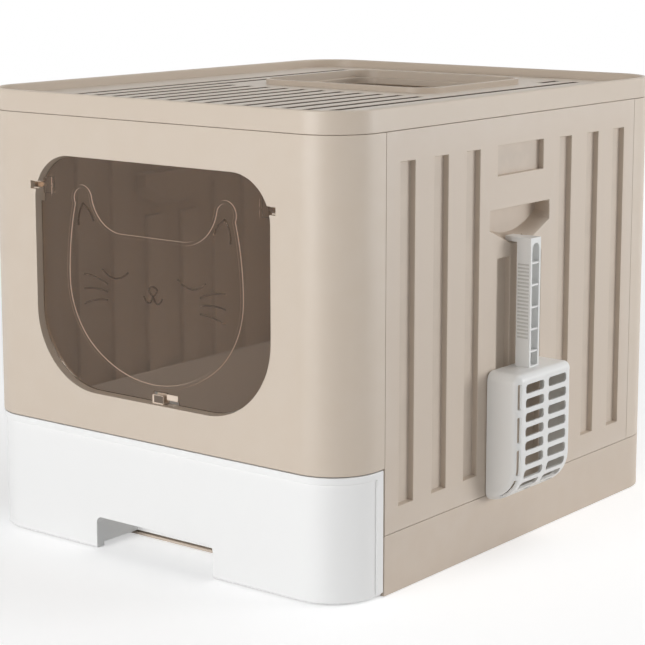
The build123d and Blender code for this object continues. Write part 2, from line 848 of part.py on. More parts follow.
with BuildPart() as scoop:
    with BuildSketch(scoop_plane):
        basket_profile(0, basket_gap)
    extrude(amount=basket_width / 2, both=True)
    fillet(
        scoop.faces().filter_by(Plane.XZ).edges().filter_by(
            lambda e: e.center().X > basket_front),
        basket_edge,
    )
    add(basket_hollow.part, mode=Mode.SUBTRACT)
    # Rows of slots down the upright face, and along its two edges
    with BuildSketch(Plane(origin=(half_width + basket_out + past, scoop_centre, 0),
                           x_dir=(0, 1, 0), z_dir=(1, 0, 0))):
        for side in (-1, 1):
            for row in range(grid_rows):
                with Locations((side * grid_column, grid_first - row * grid_pitch)):
                    add(grid_slot)
            for row in range(side_grid_rows):
                with Locations((side * side_grid_from_centre,
                                side_grid_first - row * side_grid_pitch)):
                    add(side_slot)
    extrude(amount=-grid_sink - past, mode=Mode.SUBTRACT)
    # Both patterns go on round the bend
    grid_last = grid_first - (grid_rows - 1) * grid_pitch - basket_bend
    for row in range(1, grid_bent_rows + 1):
        with BuildSketch(on_bend(row * grid_pitch - grid_last)):
            for side in (-1, 1):
                with Locations((side * grid_column, 0)):
                    add(grid_slot)
        extrude(amount=-2 * basket_wall, mode=Mode.SUBTRACT)
    with BuildSketch(on_bend(basket_bend - side_grid_first + side_grid_rows * side_grid_pitch)):
        for side in (-1, 1):
            with Locations((side * side_grid_from_centre, 0)):
                add(side_slot)
    extrude(amount=-grid_sink - past, mode=Mode.SUBTRACT)
    # Handle
    block(
        half_width + handle_in, half_width + handle_out, scoop_centre - handle_half,
        scoop_centre + handle_half, basket_head - basket_wall / 2, handle_head,
    )
    channel_foot = basket_head + past
    channel_head = handle_head - channel_cap
    channel_half = handle_half - handle_wall
    with BuildSketch(Plane(origin=(half_width + handle_out, scoop_centre, 0),
                           x_dir=(0, 1, 0), z_dir=(1, 0, 0))):
        with BuildLine():
            Polyline(
                (-channel_half, channel_head - channel_half), (-channel_half, channel_foot),
                (channel_half, channel_foot), (channel_half, channel_head - channel_half),
            )
            ThreePointArc(
                (channel_half, channel_head - channel_half), (0, channel_head),
                (-channel_half, channel_head - channel_half),
            )
        make_face()
    extrude(amount=-(handle_out - handle_in - handle_wall), mode=Mode.SUBTRACT)
    for row in range(rib_count):
        rib_z = rib_first + row * rib_pitch
        block(
            half_width + handle_in + handle_wall / 2, half_width + handle_out - rib_sink,
            scoop_centre - channel_half - handle_wall / 2,
            scoop_centre + channel_half + handle_wall / 2,
            rib_z - rib_thickness / 2, rib_z + rib_thickness / 2,
        )
    # Hook
    block(
        half_width - hook_reach, half_width + handle_in + handle_wall / 2, scoop_centre - hook_half,
        scoop_centre + hook_half, handle_head - hook_plate, handle_head,
    )
    block(
        half_width - hook_reach, half_width - hook_reach + hook_leg, scoop_centre - hook_half,
        scoop_centre + hook_half, handle_head - hook_plate - hook_drop, handle_head,
    )

scoop.part.label = "scoop"
export_step(scoop.part, "parts/scoop.step")
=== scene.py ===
import logging
import math
from collections.abc import Collection
from dataclasses import dataclass, field, replace
from enum import Enum
from typing import Union

import bmesh
import bpy
from mathutils import Matrix, Vector


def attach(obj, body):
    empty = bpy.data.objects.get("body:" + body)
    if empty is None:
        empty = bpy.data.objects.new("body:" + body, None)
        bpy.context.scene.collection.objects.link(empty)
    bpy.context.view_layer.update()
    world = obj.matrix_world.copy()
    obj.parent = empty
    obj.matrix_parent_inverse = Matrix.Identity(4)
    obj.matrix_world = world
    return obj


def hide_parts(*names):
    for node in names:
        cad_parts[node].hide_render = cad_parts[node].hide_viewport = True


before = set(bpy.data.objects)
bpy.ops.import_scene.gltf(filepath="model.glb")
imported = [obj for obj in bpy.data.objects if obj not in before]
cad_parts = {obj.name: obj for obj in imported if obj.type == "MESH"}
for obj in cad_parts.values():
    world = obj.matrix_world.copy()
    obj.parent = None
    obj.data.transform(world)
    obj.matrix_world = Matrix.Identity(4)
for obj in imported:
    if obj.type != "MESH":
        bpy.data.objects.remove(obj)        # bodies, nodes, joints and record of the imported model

# A drawer litter box: beige moulded shells and corrugated side panels on a low base, a slotted lid
# with an exit hole, a see-through swinging door, a white drawer and a white scoop on its hook.
# Metres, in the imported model's frame: X to the right, Y to the back, Z up, origin on the floor.
# Fields and constants marked with * MM are in metres, other lengths in the classes in millimetres.

log = logging.getLogger("litter_box")
MM = 0.001
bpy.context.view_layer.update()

Value = Union[bpy.types.NodeSocket, float, tuple]
Point = tuple[float, float]
Arc = tuple[Point, Point, float]
Triple = tuple[float, float, float]

WHITE = (1.0, 1.0, 1.0, 1.0)
GREY = (0.5, 0.5, 0.5, 1.0)

# The usual screen curve.
CHANNEL_TOP = 255
CURVE_FOOT = 0.04045
FOOT_SLOPE = 12.92
CURVE_LIFT = 0.055
CURVE_POWER = 2.4


# ------------------------------------------------------------------------------------- helpers
def linear(red: int, green: int, blue: int) -> tuple[float, float, float, float]:
    """Turn a screen colour into a linear colour with full alpha.

    Args:
        red: Red, 0 to 255.
        green: Green, 0 to 255.
        blue: Blue, 0 to 255.

    Returns:
        The linear colour.
    """

    def channel(value: float) -> float:
        """One channel, by the screen curve."""
        part = value / CHANNEL_TOP
        if part <= CURVE_FOOT:
            return part / FOOT_SLOPE
        return ((part + CURVE_LIFT) / (1 + CURVE_LIFT)) ** CURVE_POWER

    return (channel(red), channel(green), channel(blue), 1.0)


class Wiring:
    """Adds nodes to one tree and joins them by socket name."""

    # A Mix node has a set of equally named sockets for each kind of data, so those for colours
    # go by their place: factor, first and second colour, and the result.
    TONE_INPUTS = (0, 6, 7)
    TONE_OUTPUT = 2

    def __init__(self, tree: bpy.types.NodeTree) -> None:
        """Start with an empty tree."""
        self.tree = tree
        tree.nodes.clear()

    def add(self, kind: str, settings: dict | None = None, **sockets: Value) -> bpy.types.Node:
        """Add a node and fill its inputs.

        Args:
            kind: Type name of the node.
            settings: Properties of the node itself, such as a math operation.
            sockets: Values, or sockets to join, by the input's name with _ for a space.

        Returns:
            The new node.
        """
        node = self.tree.nodes.new(kind)
        for name, value in (settings or {}).items():
            setattr(node, name, value)
        for name, value in sockets.items():
            self.feed(node.inputs[name.replace("_", " ")], value)
        return node

    def feed(self, socket: bpy.types.NodeSocket, value: Value) -> None:
        """Fill one input.

        Args:
            socket: The input.
            value: A socket to join to it, or a plain value.
        """
        if isinstance(value, bpy.types.NodeSocket):
            self.tree.links.new(value, socket)
        else:
            socket.default_value = value

    def feed_all(self, node: bpy.types.Node, first: int, *values: Value) -> bpy.types.NodeSocket:
        """Fill a node's inputs by their place.

        Args:
            node: The node.
            first: Place of the first input to fill.
            values: Values or sockets for it and those after it.

        Returns:
            The node's first output.
        """
        for socket, value in zip(node.inputs[first:], values):
            self.feed(socket, value)
        return node.outputs[0]

    def math(self, operation: str, *values: Value) -> bpy.types.NodeSocket:
        """Result of a math node on one, two or three values or sockets."""
        return self.feed_all(self.add("ShaderNodeMath", {"operation": operation}), 0, *values)

    def scaled(self, vector: Value, factor: Value) -> bpy.types.NodeSocket:
        """A colour or vector times a number."""
        node = self.add("ShaderNodeVectorMath", {"operation": "SCALE"}, Scale=factor)
        return self.feed_all(node, 0, vector)

    def mixed(self, factor: Value, first: Value, second: Value) -> bpy.types.NodeSocket:
        """Shader between two shaders."""
        return self.feed_all(self.add("ShaderNodeMixShader", Fac=factor), 1, first, second)

    def toned(self, factor: Value, near: Value, far: Value) -> bpy.types.NodeSocket:
        """Mix two colours.

        Args:
            factor: Share of the far colour, 0 to 1.
            near: Colour at 0.
            far: Colour at 1.

        Returns:
            The mixed colour.
        """
        node = self.add("ShaderNodeMix", {"data_type": "RGBA"})
        for index, value in zip(self.TONE_INPUTS, (factor, near, far)):
            self.feed(node.inputs[index], value)
        return node.outputs[self.TONE_OUTPUT]

    def ramp(
        self, value: Value, low: float, high: float, start: float, end: float
    ) -> bpy.types.NodeSocket:
        """Move a value from one range onto another, and hold it there.

        Args:
            value: The value.
            low: Where the first range starts.
            high: Where it ends.
            start: What low becomes.
            end: What high becomes.

        Returns:
            The moved value.
        """
        node = self.add(
            "ShaderNodeMapRange", {"clamp": True},
            From_Min=low, From_Max=high, To_Min=start, To_Max=end,
        )
        return self.feed_all(node, 0, value)

    def noise(
        self, vector: Value, scale: Value, detail: float, roughness: float
    ) -> bpy.types.NodeSocket:
        """Value of a noise texture, 0 to 1."""
        return self.add(
            "ShaderNodeTexNoise", Vector=vector, Scale=scale, Detail=detail, Roughness=roughness
        ).outputs[0]

    def place(self) -> bpy.types.NodeSocket:
        """Object coordinates."""
        return self.add("ShaderNodeTexCoord").outputs["Object"]

    def stretched(self, scale: Triple, turn: Triple = (0.0, 0.0, 0.0)) -> bpy.types.NodeSocket:
        """Object coordinates, scaled and turned."""
        node = self.add("ShaderNodeMapping", Vector=self.place(), Rotation=turn, Scale=scale)
        return node.outputs[0]

    def bumped(self, height: bpy.types.NodeSocket) -> bpy.types.NodeSocket:
        """Normal of a surface with a height in metres."""
        return self.add("ShaderNodeBump", Height=height, Distance=1.0, Strength=1.0).outputs[0]

    def shared(self, effect: "Effects", **sockets: Value) -> bpy.types.NodeOutputs:
        """Outputs of a shared shader group that is placed here with its own values."""
        return self.add("ShaderNodeGroup", {"node_tree": effect.tree()}, **sockets).outputs


# -------------------------------------------------------------------------------- shared effects
SOCKET_KINDS = {float: "NodeSocketFloat", tuple: "NodeSocketColor"}
# Noise patterns: scale a metre, detail and roughness.
CLOUDS = (7.0, 3.0, 0.5)
GLOSS_PATCHES = (34.0, 4.0, 0.6)
# Patches in which the painted edge highlight and the painted crease shade show.
EDGE_PATCHES = (45.0, 3.0, 0.5)
# Detail and roughness of the patterns whose scale is a named input.
GRAIN_DETAIL = (2.0, 0.6)
SMEAR_DETAIL = (5.0, 0.65)
NOISE_MIDDLE = 0.5
# Ranges: low and high of the value, and what they become.
PATCH_RANGE = (0.35, 0.65, 0.4, 1.0)
RIDGE_RANGE = (0.515, 0.6, 0.0, 1.0)
VALLEY_RANGE = (0.485, 0.4, 0.0, 1.0)
SMEAR_RANGE = (0.48, 0.72, 0.0, 1.0)
SMEAR_TURN = (0.3, 0.5, 0.2)
SMEAR_STRETCH = (1.0, 1.0, 3.5)


def effect(
    name: str, inputs: dict, outputs: dict
) -> tuple[Wiring, bpy.types.NodeOutputs, bpy.types.NodeInputs]:
    """Start a shader group with named sockets.

    Args:
        name: Name of the group.
        inputs: Default value of each input, a number or a colour.
        outputs: A number or a colour for each output, which gives its kind.

    Returns:
        The group's wiring, what it is given and what it puts out.
    """
    tree = bpy.data.node_groups.new(name, "ShaderNodeTree")
    for label, value in inputs.items():
        socket = tree.interface.new_socket(
            name=label, in_out="INPUT", socket_type=SOCKET_KINDS[type(value)]
        )
        socket.default_value = value
    for label, value in outputs.items():
        tree.interface.new_socket(
            name=label, in_out="OUTPUT", socket_type=SOCKET_KINDS[type(value)]
        )
    wiring = Wiring(tree)
    return wiring, wiring.add("NodeGroupInput").outputs, wiring.add("NodeGroupOutput").inputs


def moulded_skin() -> bpy.types.NodeTree:
    """Build the skin of moulded plastic: eroded mould grain, faint clouds of colour and gloss.

    Returns:
        The shader group.
    """
    wiring, given, made = effect(
        "moulded_skin",
        {"Colour": GREY, "Mottle": 0.02, "Roughness": 0.45, "Spread": 0.04,
         "Grain Scale": 2200.0, "Grain Depth": 0.01 * MM},
        {"Colour": GREY, "Roughness": 0.0, "Height": 0.0},
    )
    place = wiring.place()
    clouds = wiring.math("SUBTRACT", wiring.noise(place, *CLOUDS), NOISE_MIDDLE)
    swing = wiring.math("MULTIPLY", clouds, given["Mottle"])
    tone = wiring.math("MULTIPLY_ADD", swing, 2.0, 1.0)
    wiring.feed(made["Colour"], wiring.scaled(given["Colour"], tone))
    gloss = wiring.math("SUBTRACT", wiring.noise(place, *GLOSS_PATCHES), NOISE_MIDDLE)
    wiring.feed(
        made["Roughness"],
        wiring.math("MULTIPLY_ADD", gloss, given["Spread"], given["Roughness"]),
    )
    grain = wiring.noise(place, given["Grain Scale"], *GRAIN_DETAIL)
    wiring.feed(made["Height"], wiring.math("MULTIPLY", grain, given["Grain Depth"]))
    return wiring.tree


def edge_tone() -> bpy.types.NodeTree:
    """Build the painted highlight on the outer edges and the painted shade in the creases, both in
    patches.

    Returns:
        The shader group.
    """
    wiring, given, made = effect(
        "edge_tone",
        {"Colour": GREY, "Rub": 0.2, "Dust": 0.3,
         "Rub Colour": (0.9, 0.9, 0.9, 1.0), "Dust Colour": (0.2, 0.17, 0.14, 1.0)},
        {"Colour": GREY},
    )
    bend = wiring.add("ShaderNodeNewGeometry").outputs["Pointiness"]
    patches = wiring.ramp(wiring.noise(wiring.place(), *EDGE_PATCHES), *PATCH_RANGE)
    # Painted highlight on convex edges and painted shade in concave creases, found by pointiness.
    ridge = wiring.math("MULTIPLY", wiring.ramp(bend, *RIDGE_RANGE), given["Rub"])
    valley = wiring.math("MULTIPLY", wiring.ramp(bend, *VALLEY_RANGE), given["Dust"])
    highlighted = wiring.math("MULTIPLY", ridge, patches)
    shaded = wiring.math("MULTIPLY", valley, patches)
    lit = wiring.toned(highlighted, given["Colour"], given["Rub Colour"])
    wiring.feed(made["Colour"], wiring.toned(shaded, lit, given["Dust Colour"]))
    return wiring.tree


def handling() -> bpy.types.NodeTree:
    """Build the wiped streaks and finger smears, which only change the gloss.

    Returns:
        The shader group.
    """
    wiring, given, made = effect(
        "handling", {"Roughness": 0.2, "Amount": 0.1, "Scale": 9.0}, {"Roughness": 0.0}
    )
    drawn = wiring.stretched(SMEAR_STRETCH, SMEAR_TURN)
    smear = wiring.ramp(wiring.noise(drawn, given["Scale"], *SMEAR_DETAIL), *SMEAR_RANGE)
    wiring.feed(
        made["Roughness"],
        wiring.math("MULTIPLY_ADD", smear, given["Amount"], given["Roughness"]),
    )
    return wiring.tree


class Effects(Enum):
    """The shared shader groups, by name."""

    SKIN = "moulded_skin"
    EDGE = "edge_tone"
    HANDLING = "handling"

    def tree(self) -> bpy.types.NodeTree:
        """The group, built the first time that it is asked for."""
        build = {Effects.SKIN: moulded_skin, Effects.EDGE: edge_tone, Effects.HANDLING: handling}
        return bpy.data.node_groups.get(self.value) or build[self]()


# ------------------------------------------------------------------------------------- finishes
@dataclass(frozen=True)
class Finish:
    """A material, built when a piece first asks for it."""

    name: str

    def material(self) -> bpy.types.Material:
        """Build the material, or find the one already built.

        Returns:
            The material.
        """
        found = bpy.data.materials.get(self.name)
        if found:
            return found
        made = bpy.data.materials.new(self.name)
        made.use_nodes = True
        wiring = Wiring(made.node_tree)
        wiring.add("ShaderNodeOutputMaterial", Surface=self.surface(wiring))
        return made

    def surface(self, wiring: Wiring) -> bpy.types.NodeSocket:
        """Wire the finish's own shader and return its output."""
        raise NotImplementedError


@dataclass(frozen=True)
class MouldedPlastic(Finish):
    """Opaque moulded plastic."""

    colour: tuple[int, int, int]
    roughness: float = 0.45
    spread: float = 0.08
    mottle: float = 0.02
    grain_scale: float = 2200.0
    grain_depth: float = 0.012 * MM
    smears: float = 0.05
    # Painted light: a painted highlight on the outer edges and painted shade in the creases.
    edge_highlight: float = 0.15
    crease_shade: float = 0.25
    coat: float = 0.0
    coat_roughness: float = 0.12
    bending: float = 1.49

    def surface(self, wiring: Wiring) -> bpy.types.NodeSocket:
        """Wire the plastic.

        Args:
            wiring: The material's wiring.

        Returns:
            The shader's output.
        """
        skin = wiring.shared(
            Effects.SKIN, Colour=linear(*self.colour), Mottle=self.mottle,
            Roughness=self.roughness, Spread=self.spread,
            Grain_Scale=self.grain_scale, Grain_Depth=self.grain_depth,
        )
        # Painted highlight on the outer edges and painted shade in the creases.
        edge = wiring.shared(Effects.EDGE, Colour=skin["Colour"], Rub=self.edge_highlight, Dust=self.crease_shade)
        smeared = wiring.shared(
            Effects.HANDLING, Roughness=skin["Roughness"], Amount=self.smears
        )
        return wiring.add(
            "ShaderNodeBsdfPrincipled", Base_Color=edge["Colour"], IOR=self.bending,
            Roughness=smeared["Roughness"], Normal=wiring.bumped(skin["Height"]),
            Coat_Weight=self.coat, Coat_Roughness=self.coat_roughness,
        ).outputs[0]


@dataclass(frozen=True)
class SmokedSheet(Finish):
    """Clear brown-grey plastic, polished, with faint waves from the mould."""

    tint: tuple[int, int, int]
    shade: tuple[int, int, int]
    roughness: float = 0.06
    clear: float = 0.95
    bending: float = 1.2
    mottle: float = 0.03
    spread: float = 0.03
    wave_scale: float = 26.0
    wave_depth: float = 0.03 * MM
    smears: float = 0.08

    def surface(self, wiring: Wiring) -> bpy.types.NodeSocket:
        """Wire the sheet, which lets lamp light through with a tint of its own.

        Args:
            wiring: The material's wiring.

        Returns:
            The shader's output.
        """
        skin = wiring.shared(
            Effects.SKIN, Colour=linear(*self.tint), Mottle=self.mottle,
            Roughness=self.roughness, Spread=self.spread,
            Grain_Scale=self.wave_scale, Grain_Depth=self.wave_depth,
        )
        smeared = wiring.shared(
            Effects.HANDLING, Roughness=skin["Roughness"], Amount=self.smears
        )
        pane = wiring.add(
            "ShaderNodeBsdfPrincipled", Base_Color=skin["Colour"], IOR=self.bending,
            Roughness=smeared["Roughness"], Normal=wiring.bumped(skin["Height"]),
            Transmission_Weight=self.clear,
        )
        passed = wiring.add("ShaderNodeBsdfTransparent", Color=linear(*self.shade))
        path = wiring.add("ShaderNodeLightPath")
        return wiring.mixed(path.outputs["Is Shadow Ray"], pane.outputs[0], passed.outputs[0])


@dataclass(frozen=True)
class DrawnSteel(Finish):
    """Drawn steel wire, with fine scratches along it."""

    roughness: float = 0.32
    smoother: float = 0.08
    rougher: float = 0.1
    drawn: Triple = (1.0, 0.02, 1.0)
    scratches: tuple[float, float, float] = (3000.0, 3.0, 0.6)
    scratch_depth: float = 0.006 * MM
    scratch_range: tuple[float, float] = (0.3, 0.7)
    dull: tuple[int, int, int] = (150, 150, 152)
    bright: tuple[int, int, int] = (205, 205, 208)

    def surface(self, wiring: Wiring) -> bpy.types.NodeSocket:
        """Wire the steel.

        Args:
            wiring: The material's wiring.

        Returns:
            The shader's output.
        """
        lines = wiring.noise(wiring.stretched(self.drawn), *self.scratches)
        height = wiring.math("MULTIPLY", lines, self.scratch_depth)
        gloss = wiring.ramp(
            lines, *self.scratch_range, self.roughness - self.smoother, self.roughness + self.rougher
        )
        return wiring.add(
            "ShaderNodeBsdfPrincipled", Metallic=1.0, Normal=wiring.bumped(height),
            Roughness=gloss,
            Base_Color=wiring.toned(lines, linear(*self.dull), linear(*self.bright)),
        ).outputs[0]


SHELL_BEIGE = MouldedPlastic("shell_beige", (212, 197, 180), roughness=0.42)
PANEL_BEIGE = MouldedPlastic("panel_beige", (211, 196, 180), roughness=0.44)
BASE_BEIGE = MouldedPlastic("base_beige", (209, 193, 176), roughness=0.46, crease_shade=0.35)
LID_BEIGE = MouldedPlastic("lid_beige", (211, 196, 179), roughness=0.4)
PIN_BEIGE = MouldedPlastic("pin_beige", (206, 190, 172), roughness=0.5)
CATCH_BEIGE = MouldedPlastic("catch_beige", (226, 206, 186), roughness=0.36)
DRAWER_WHITE = MouldedPlastic(
    "drawer_white", (250, 250, 249), roughness=0.3, coat=0.12, grain_scale=3000.0,
    grain_depth=0.005 * MM, edge_highlight=0.0, crease_shade=0.12, smears=0.07, mottle=0.008,
)
# Painted shade: the walls of the lid's slots in a dark beige.
SLOT_SHADE = MouldedPlastic("slot_shade", (98, 86, 74), roughness=0.6, edge_highlight=0.0, crease_shade=0.5)
# Painted shade: the floor and walls of the catch's thumb hollow in dark brown.
CATCH_HOLLOW_SHADE = MouldedPlastic("catch_hollow_shade", (92, 76, 62), roughness=0.6, edge_highlight=0.0, crease_shade=0.5)
SCOOP_WHITE = MouldedPlastic(
    "scoop_white", (240, 240, 238), roughness=0.3, coat=0.15, grain_scale=3000.0,
    grain_depth=0.004 * MM, edge_highlight=0.0, crease_shade=0.2, smears=0.08, mottle=0.01,
)
# The fine ribs of the grip, in a greyer white: painted shade that sets them off from the handle.
GRIP_SHADE = replace(SCOOP_WHITE, name="grip_rib_shade", colour=(214, 213, 209))
SMOKED_DOOR = SmokedSheet("smoked_door", (202, 188, 175), (200, 190, 181))
# Painted highlight: the slopes of the pane's raised lines in a pale, nearly opaque peach.
RAISED_LINE_HIGHLIGHT = SmokedSheet(
    "raised_line_highlight", (250, 222, 200), (190, 172, 158), roughness=0.12, clear=0.1
)
FACE_LINE = SmokedSheet("face_line", (176, 161, 149), (186, 176, 168), roughness=0.1, clear=0.92)
ROD_STEEL = DrawnSteel("rod_steel")


# --------------------------------------------------------------------------------- mesh helpers
WELD = 0.002 * MM
FLAT = math.radians(0.3)
SHARP = math.radians(24)
SHADING_BREAK = math.radians(50)
SHADING_WEIGHT = 80
ROUNDING_STEPS = 2
ROUND_PROFILE = 0.5


def welded(node: str) -> bmesh.types.BMesh:
    """Copy a node's mesh, with its loose triangles joined and its flat faces made whole.

    Args:
        node: The node's name.

    Returns:
        The copy.
    """
    mesh = bmesh.new()
    mesh.from_mesh(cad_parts[node].data)
    bmesh.ops.remove_doubles(mesh, verts=mesh.verts, dist=WELD)
    bmesh.ops.dissolve_limit(mesh, angle_limit=FLAT, verts=mesh.verts, edges=mesh.edges)
    return mesh


def round_edges(
    mesh: bmesh.types.BMesh, radius: float, skip: Collection[bmesh.types.BMEdge] = ()
) -> None:
    """Round the sharp edges of a mesh.

    Args:
        mesh: The mesh, changed in place.
        radius: Width of the rounding, in metres.
        skip: Edges that stay sharp.
    """
    sharp = [
        edge for edge in mesh.edges
        if edge.is_manifold and edge.calc_face_angle(0.0) > SHARP and edge not in skip
    ]
    bmesh.ops.bevel(
        mesh, geom=sharp, offset=radius, offset_type="OFFSET", segments=ROUNDING_STEPS,
        profile=ROUND_PROFILE, affect="EDGES", clamp_overlap=False, loop_slide=True,
    )


def made_plain(thing: bpy.types.Object) -> None:
    """Turn an object with modifiers into one with a plain mesh.

    Args:
        thing: The object, changed in place.
    """
    graph = bpy.context.evaluated_depsgraph_get()
    mesh = bpy.data.meshes.new_from_object(thing.evaluated_get(graph))
    thing.modifiers.clear()
    thing.data = mesh


def finished(
    mesh: bmesh.types.BMesh, name: str, finish: Finish, body: str,
    stands_for: tuple[str, ...] = (),
) -> bpy.types.Object:
    """Turn a mesh into a piece of the object.

    Args:
        mesh: The mesh in metres, in place. It is used up.
        name: The piece's name.
        finish: One of the finishes.
        body: The body that the piece moves with.
        stands_for: Nodes that the piece replaces.

    Returns:
        The new piece.
    """
    for face in mesh.faces:
        face.smooth = True
    data = bpy.data.meshes.new(name)
    mesh.to_mesh(data)
    mesh.free()
    data.set_sharp_from_angle(angle=SHADING_BREAK)
    data.materials.append(finish.material())
    piece = bpy.data.objects.new(name, data)
    bpy.context.scene.collection.objects.link(piece)
    evened = piece.modifiers.new("even_shading", "WEIGHTED_NORMAL")
    evened.weight = SHADING_WEIGHT
    evened.keep_sharp = True
    made_plain(piece)
    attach(piece, body)
    if stands_for:
        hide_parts(*stands_for)
    return piece


def dress_node(node: str, finish: Finish) -> bpy.types.Object:
    """Give a finish to a node that stays as it is.

    Args:
        node: The node's name.
        finish: One of the finishes.

    Returns:
        The node's object.
    """
    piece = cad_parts[node]
    piece.data.materials.clear()
    piece.data.materials.append(finish.material())
    return piece


# ------------------------------------------------------------------------------- geometry nodes
RIB_SIDES = 10
BEAD_SIDES = 8


class Growth:
    """One Geometry Nodes tree with named inputs, which ends in real, dressed geometry."""

    KINDS = {int: "NodeSocketInt", float: "NodeSocketFloat", tuple: "NodeSocketVector"}

    def __init__(self, name: str, sizes: dict) -> None:
        """Start a tree.

        Args:
            name: The tree's name.
            sizes: Default of each named size: a whole number, a number or three numbers.
        """
        self.tree = bpy.data.node_groups.new(name, "GeometryNodeTree")
        face = self.tree.interface
        face.new_socket(name="Geometry", in_out="INPUT", socket_type="NodeSocketGeometry")
        for label, value in sizes.items():
            socket = face.new_socket(
                name=label, in_out="INPUT", socket_type=self.KINDS[type(value)]
            )
            socket.default_value = value
        face.new_socket(name="Finish", in_out="INPUT", socket_type="NodeSocketMaterial")
        face.new_socket(name="Geometry", in_out="OUTPUT", socket_type="NodeSocketGeometry")
        self.wiring = Wiring(self.tree)
        self.given = self.wiring.add("NodeGroupInput").outputs
        self.made = self.wiring.add("NodeGroupOutput").inputs

    def end(self, shape: bpy.types.NodeSocket) -> bpy.types.NodeTree:
        """Make the shape real, give it its finish and close the tree.

        Args:
            shape: The grown geometry.

        Returns:
            The tree.
        """
        real = self.wiring.add("GeometryNodeRealizeInstances", Geometry=shape)
        dressed = self.wiring.add(
            "GeometryNodeSetMaterial", Geometry=real.outputs[0], Material=self.given["Finish"]
        )
        self.wiring.feed(self.made["Geometry"], dressed.outputs[0])
        return self.tree


def ribs_tree() -> bpy.types.NodeTree:
    """Build the row of round ribs, each laid along one way and set a pitch above the last.

    Returns:
        The tree.
    """
    growth = Growth("ribs_in_a_row", {
        "Count": 10, "Start": (0.0, 0.0, 0.0), "Pitch": (0.0, 0.0, 4.0 * MM),
        "Along": (10.0 * MM, 0.0, 0.0), "Radius": 0.8 * MM,
    })
    wiring, given = growth.wiring, growth.given
    row = wiring.add(
        "GeometryNodeMeshLine", Count=given["Count"], Start_Location=given["Start"],
        Offset=given["Pitch"],
    )
    spine = wiring.add("GeometryNodeCurvePrimitiveLine", End=given["Along"])
    section = wiring.add(
        "GeometryNodeCurvePrimitiveCircle", Resolution=RIB_SIDES, Radius=given["Radius"]
    )
    rib = wiring.add(
        "GeometryNodeCurveToMesh", Curve=spine.outputs[0], Profile_Curve=section.outputs[0],
        Fill_Caps=True,
    )
    placed = wiring.add(
        "GeometryNodeInstanceOnPoints", Points=row.outputs[0], Instance=rib.outputs[0]
    )
    return growth.end(placed.outputs[0])


def bead_tree() -> bpy.types.NodeTree:
    """Build the round bead of one thickness that follows the piece's own lines.

    Returns:
        The tree.
    """
    growth = Growth("bead_on_lines", {"Radius": 0.8 * MM, "Spacing": 1.2 * MM})
    wiring, given = growth.wiring, growth.given
    evened = wiring.add(
        "GeometryNodeResampleCurve", {"mode": "LENGTH"}, Curve=given["Geometry"]
    )
    wiring.feed(next(i for i in evened.inputs if i.name == "Length"), given["Spacing"])
    section = wiring.add(
        "GeometryNodeCurvePrimitiveCircle", Resolution=BEAD_SIDES, Radius=given["Radius"]
    )
    bead = wiring.add(
        "GeometryNodeCurveToMesh", Curve=evened.outputs[0], Profile_Curve=section.outputs[0],
        Fill_Caps=True,
    )
    return growth.end(bead.outputs[0])


def grown(
    base: bpy.types.ID, name: str, tree: bpy.types.NodeTree, finish: Finish, sizes: dict
) -> bmesh.types.BMesh:
    """Grow a tree on a mesh or curve and take the result as a mesh of its own.

    Args:
        base: The mesh or curve data that the tree is given.
        name: Name of the holder while it is grown.
        tree: The Geometry Nodes tree.
        finish: One of the finishes.
        sizes: Value of each named input of the tree.

    Returns:
        The grown mesh, in metres.
    """
    holder = bpy.data.objects.new(name, base)
    bpy.context.scene.collection.objects.link(holder)
    modifier = holder.modifiers.new(tree.name, "NODES")
    modifier.node_group = tree
    for socket in tree.interface.items_tree:
        if socket.item_type == "SOCKET" and socket.in_out == "INPUT" and socket.name in sizes:
            modifier[socket.identifier] = sizes[socket.name]
        elif socket.item_type == "SOCKET" and socket.name == "Finish":
            modifier[socket.identifier] = finish.material()
    graph = bpy.context.evaluated_depsgraph_get()
    result = bpy.data.meshes.new_from_object(holder.evaluated_get(graph))
    mesh = bmesh.new()
    mesh.from_mesh(result)
    bpy.data.objects.remove(holder)
    bpy.data.meshes.remove(result)
    return mesh


# ------------------------------------------------------------------------------- sub-assemblies
@dataclass
class Casing:
    """Base, front and rear shell, side panels and what joins them."""

    edge: float = 0.3 * MM

    def build(self) -> list[bpy.types.Object]:
        """Build the casing.

        Returns:
            Its pieces.
        """
        made = []
        for node, finish, slot in (
            ("base_frame", BASE_BEIGE, "shell_plastic"),
            ("front_shell", SHELL_BEIGE, "shell_plastic"),
            ("rear_shell", SHELL_BEIGE, "shell_plastic"),
            ("left_side_panel", PANEL_BEIGE, "panel_plastic"),
            ("right_side_panel", PANEL_BEIGE, "panel_plastic"),
        ):
            mesh = welded(node)
            round_edges(mesh, self.edge)
            made.append(finished(mesh, f"{node}_moulding", finish, "housing", (node,)))
        for node in ("front_shell_pins", "rear_shell_pins"):
            made.append(dress_node(node, PIN_BEIGE))
        for node in ("left_hinge_rod", "right_hinge_rod"):
            made.append(dress_node(node, ROD_STEEL))
        return made


